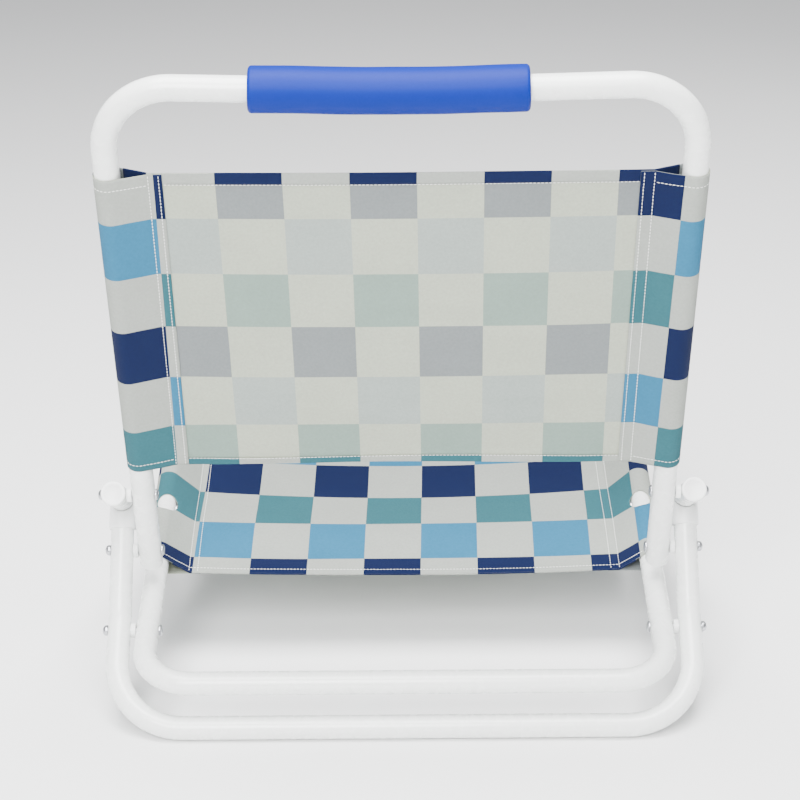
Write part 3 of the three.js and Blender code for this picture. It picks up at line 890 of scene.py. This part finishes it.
def share_of(sling, s):
    """How far s is from the sling's low end to its high end, from 0 to 1."""
    return (s - sling.low) / (sling.high - sling.low)


def flat_drop(sling, s):
    return 0.0


def back_sag(sling, s):
    return 2 * MM + 3 * MM * math.sin(math.pi * share_of(sling, s))


def back_bow(sling, x, s):
    """Tension draws the lower edge up in the middle."""
    across = max(0.0, 1 - (x / sling.web) ** 2)
    return 3 * MM * across * (1 - share_of(sling, s)) ** 4


def hollow(sling, s):
    """The seat's hollow, from 0 near its ends to 1 where the sitter's weight has shaped it."""
    share = share_of(sling, s)
    return smooth_step((share - 0.18) / 0.26) * smooth_step((1 - share) / 0.3)


def seat_drop(sling, s):
    return (9 + 7 * hollow(sling, s)) * MM


def seat_sag(sling, s):
    return (4.5 + 7 * hollow(sling, s)) * MM


def no_bow(sling, x, s):
    return 0.0


def add_slings(thread_material):
    back_layout = {
        "slot": "back_cloth",
        "hems": (8.5 * MM, 12 * MM),
        "column": 56.2 * MM,
        "column_start": -17.6 * MM,
        "skew": -0.011,
        "row": -56.5 * MM,
        "row_start": 439 * MM,
        "crease": 2.6 * MM,
    }
    seat_layout = {
        "slot": "seat_cloth",
        "hems": (7.5 * MM, 12 * MM),
        "column": 56.9 * MM,
        "column_start": -14.5 * MM,
        "skew": 0.019,
        "row": 56.4 * MM,
        "row_start": 61.1 * MM,
        "crease": 1.2 * MM,
    }
    shape = (flat_drop, back_sag, back_bow)
    back = Sling(
        "back_sling", BACK_PIVOT, BACK_UP, BACK_FACE, 34 * MM, 11.6 * MM, shape, back_layout
    )
    shape = (seat_drop, seat_sag, no_bow)
    seat = Sling(
        "seat_sling", REAR_PIVOT, SEAT_FORWARD, SEAT_FACE, 31 * MM, 11 * MM, shape, seat_layout
    )
    pivot = (FRONT_PIVOT - REAR_PIVOT).length
    holes = []
    for sign in (1, -1):
        top = seat.touch + seat.RADIUS * (seat.start_angle - math.pi / 2) - 4 * MM
        outboard = seat.touch + seat.RADIUS * seat.start_angle
        holes += [(sign * top, pivot, 12 * MM), (sign * outboard, pivot, 9 * MM)]
    add_sling(back, [], thread_material)
    add_sling(seat, holes, thread_material)


# ---------------------------------------------------------------- stage, light and camera


def add_stage():
    floor = new_object("floor", [(-6, -6, 0), (6, -6, 0), (6, 6, 0), (-6, 6, 0)], [(0, 1, 2, 3)])
    floor.location.z = -(TUBE_RADIUS - FOOT_HEIGHT) - 0.1 * MM
    nodes = Nodes("floor")
    coloured(nodes, srgb(240, 240, 240), 0.99, 2)
    nodes.set(Roughness=0.9)
    floor.data.materials.append(nodes.material)


def add_light(name, power, size, place, target):
    light = bpy.data.lights.new(name, "AREA")
    light.energy, light.size = power, size
    obj = bpy.data.objects.new(name, light)
    obj.location = place
    obj.rotation_mode = "QUATERNION"
    obj.rotation_quaternion = (target - Vector(place)).to_track_quat("-Z", "Y")
    bpy.context.scene.collection.objects.link(obj)


def add_lights():
    world = bpy.data.worlds.new("studio")
    world.use_nodes = True
    background = world.node_tree.nodes["Background"]
    background.inputs["Color"].default_value = (0.95, 0.97, 1.0, 1)
    background.inputs["Strength"].default_value = 0.5
    bpy.context.scene.world = world
    middle = (cad_box[0] + cad_box[1]) / 2
    add_light("overhead", 240, 1.8, (0.1, 0.5, 2.6), middle)
    add_light("behind", 185, 1.4, (0.5, 2.6, 2.0), middle)
    add_light("front_fill", 12, 2.0, (-1.4, -1.6, 1.6), middle)


def add_camera():
    """Behind the chair and above it, level but for a slight roll."""
    down = math.radians(21)
    roll = math.radians(-0.42)
    camera = bpy.data.cameras.new("camera")
    camera.lens, camera.sensor_width = 90, 36
    camera.shift_x = -3 / 800
    obj = bpy.data.objects.new("camera", camera)
    look = Vector((0, -math.cos(down), -math.sin(down)))
    above = Vector((0, -math.sin(down), math.cos(down)))
    turn = Matrix((-ACROSS, above, -look)).transposed() @ Matrix.Rotation(roll, 3, "Z")
    obj.matrix_world = Matrix.Translation((0, 1.8852, 0.9628)) @ turn.to_4x4()
    bpy.context.scene.collection.objects.link(obj)
    bpy.context.scene.camera = obj


# ---------------------------------------------------------------- assembly

paint, plastic, metal, sewing = powder_coat(), white_plastic(), zinc(), thread()
ends = add_tubes(paint)
add_plugs(plastic)
add_saddle_caps(plastic, ends["rear_top"], ends["rear_up"])
add_pivots(metal, plastic)
add_grip(foam(), ends["back_top"])
add_slings(sewing)
for hand in HANDS:
    frame["nodes"][f"seat_ferrule_{hand}"].data.materials.clear()
    frame["nodes"][f"seat_ferrule_{hand}"].data.materials.append(metal)
add_stage()
add_lights()
add_camera()
